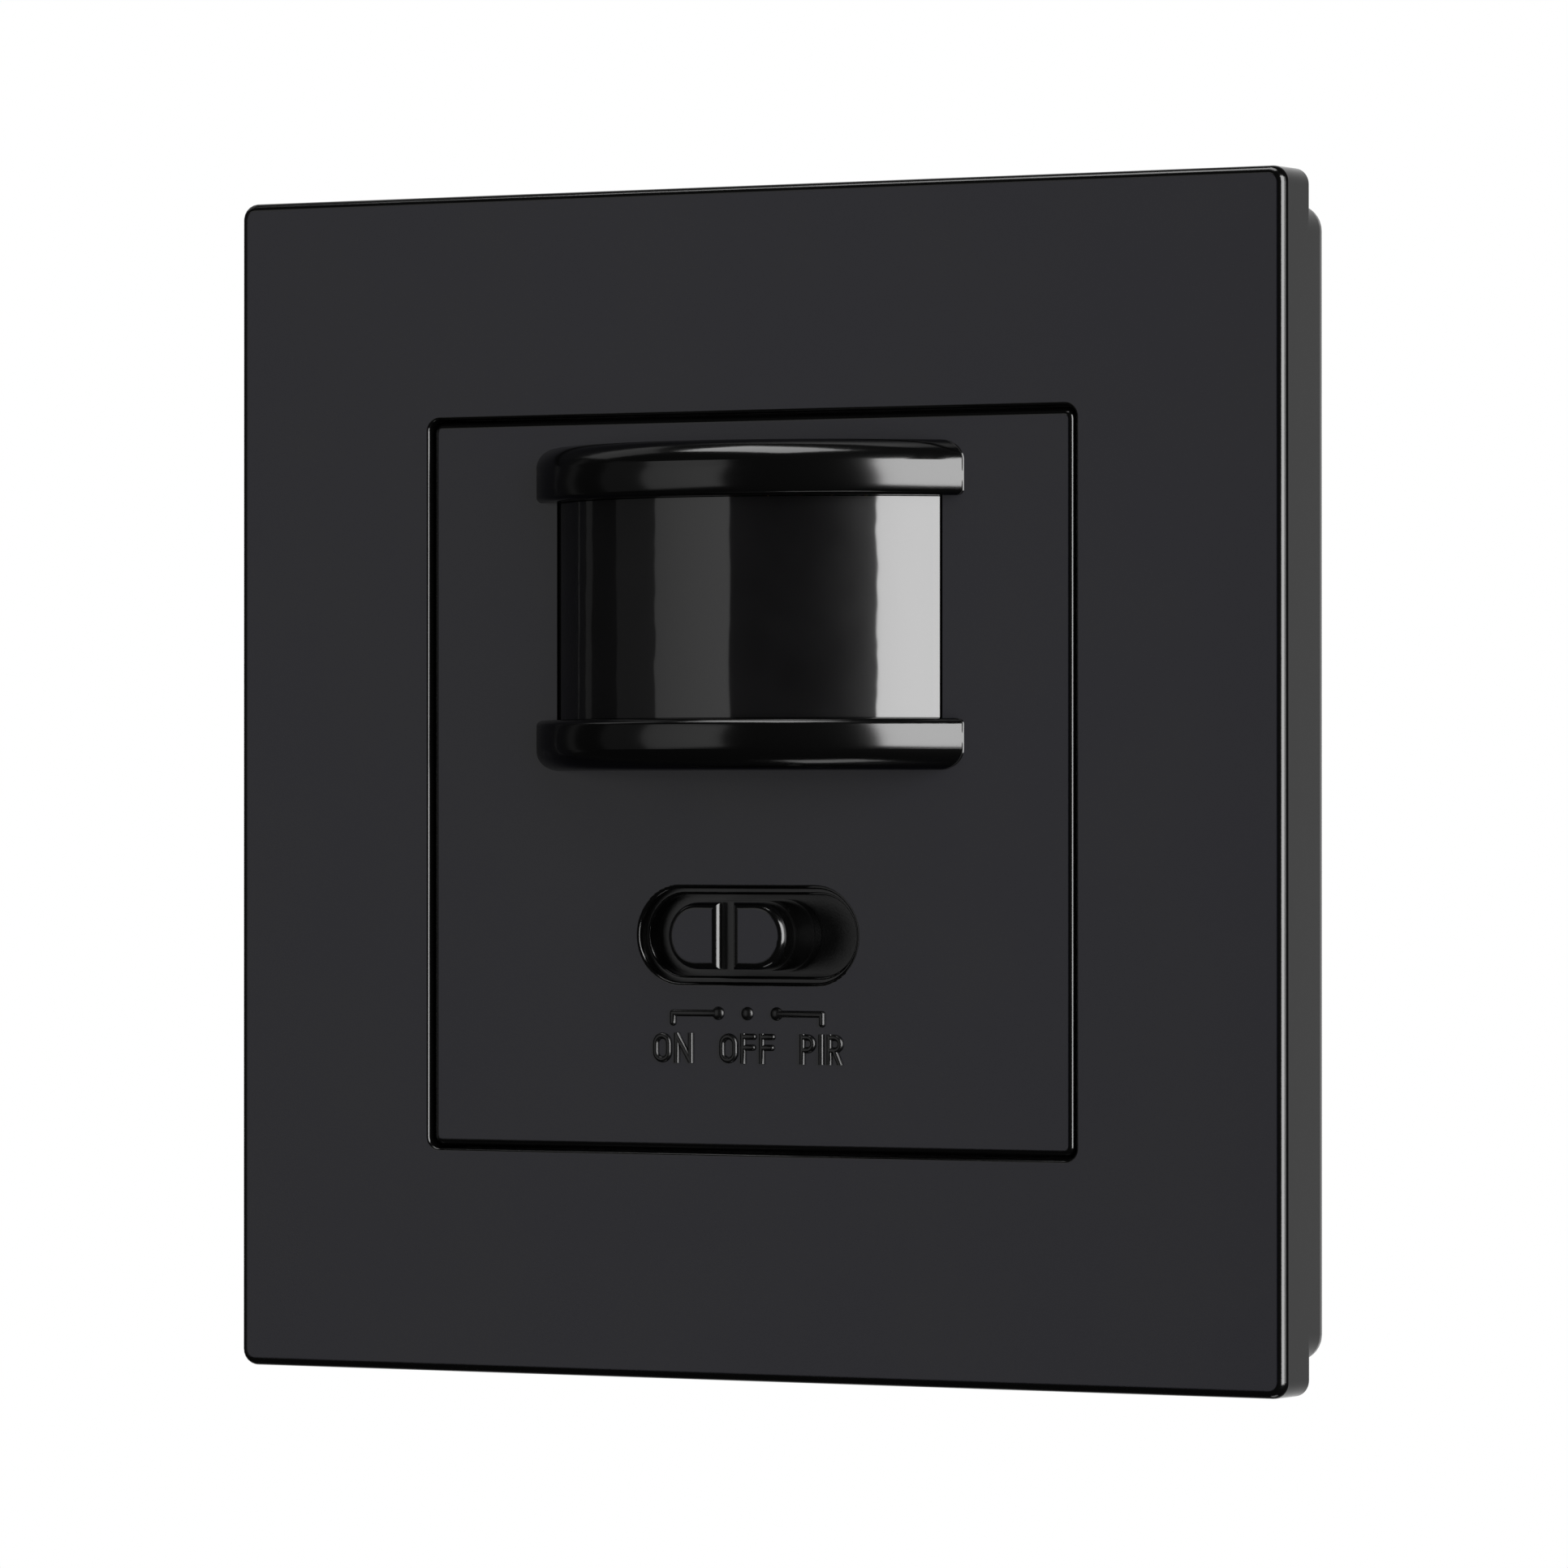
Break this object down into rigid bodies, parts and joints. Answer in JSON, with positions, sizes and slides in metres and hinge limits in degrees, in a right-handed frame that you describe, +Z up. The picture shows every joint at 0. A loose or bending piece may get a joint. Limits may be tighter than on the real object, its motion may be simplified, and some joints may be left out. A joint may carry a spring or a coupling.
{
  "type": "motion sensor light switch",
  "caption": "Square black wall switch with an arched infrared motion sensor lens and a sliding ON, OFF and sensor selector, on a base with a housing for a flush wall box.",
  "frame": {"origin": "middle of the wall screw pattern, in the plane of the base's rear face, which is the wall's face", "axes": "+Z up the wall, +X to the right of someone facing the switch, +Y into the wall; the front faces -Y"},
  "size_m": [0.0804, 0.0426, 0.0804],
  "materials": {
    "satin_black": "fine satin moulding",
    "lens_black": "polished, dark to visible light",
    "housing_black": "matt moulding",
    "white_plastic": "moulded",
    "blue_plastic": "moulded",
    "brown_laminate": "punched laminate",
    "plated_steel": "zinc plated",
    "gold_plate": "plated",
    "brass_clamp": "bare brass",
    "filter_glass": "coated silicon filter",
    "clear_resin": "clear resin",
    "board_green": "solder mask",
    "epoxy_black": "moulded epoxy",
    "relay_blue": "moulded case",
    "capacitor_yellow": "moulded case",
    "sleeve_blue": "shrink sleeve",
    "fuse_red": "moulded case",
    "terminal_green": "moulded case"
  },
  "bodies": {
    "root": {"cover_frame": "satin_black", "centre_plate": "satin_black", "mounting_base": "satin_black", "pir_lens": "lens_black", "rear_housing": "housing_black", "lens_retainer": "housing_black", "switch_can": "plated_steel", "switch_base": "brown_laminate", "housing_screws": "plated_steel", "sensor_board": "board_green", "sensor_board_screws": "plated_steel", "pyro_base": "gold_plate", "pyro_can": "plated_steel", "pyro_window": "filter_glass", "light_sensor": "clear_resin", "time_trimmer": "blue_plastic", "lux_trimmer": "blue_plastic", "control_chip": "epoxy_black", "link_header": "epoxy_black", "link_pins": "gold_plate", "power_board": "board_green", "power_board_screws": "plated_steel", "relay": "relay_blue", "film_capacitor": "capacitor_yellow", "electrolytic_capacitor": "sleeve_blue", "varistor": "blue_plastic", "fuse": "fuse_red", "rectifier_diodes": "epoxy_black", "terminal_block": "terminal_green", "terminal_clamps": "brass_clamp", "terminal_screws": "plated_steel"},
    "slide": {"slide_knob": "satin_black", "switch_actuator": "white_plastic"},
    "time_setting": {"time_rotor": "white_plastic"},
    "lux_setting": {"lux_rotor": "white_plastic"}
  },
  "joints": [
    {"name": "selector_slide", "type": "slide", "parent": "root", "child": "slide", "axis": [1, 0, 0], "range_m": [-0.00225, 0.00225]},
    {"name": "time_turn", "type": "hinge", "parent": "root", "child": "time_setting", "pos_m": [-0.0154, -0.0062, -0.0115], "axis": [0, -1, 0], "range_deg": [-135, 135]},
    {"name": "lux_turn", "type": "hinge", "parent": "root", "child": "lux_setting", "pos_m": [0.0154, -0.0062, -0.0115], "axis": [0, -1, 0], "range_deg": [-135, 135]}
  ]
}
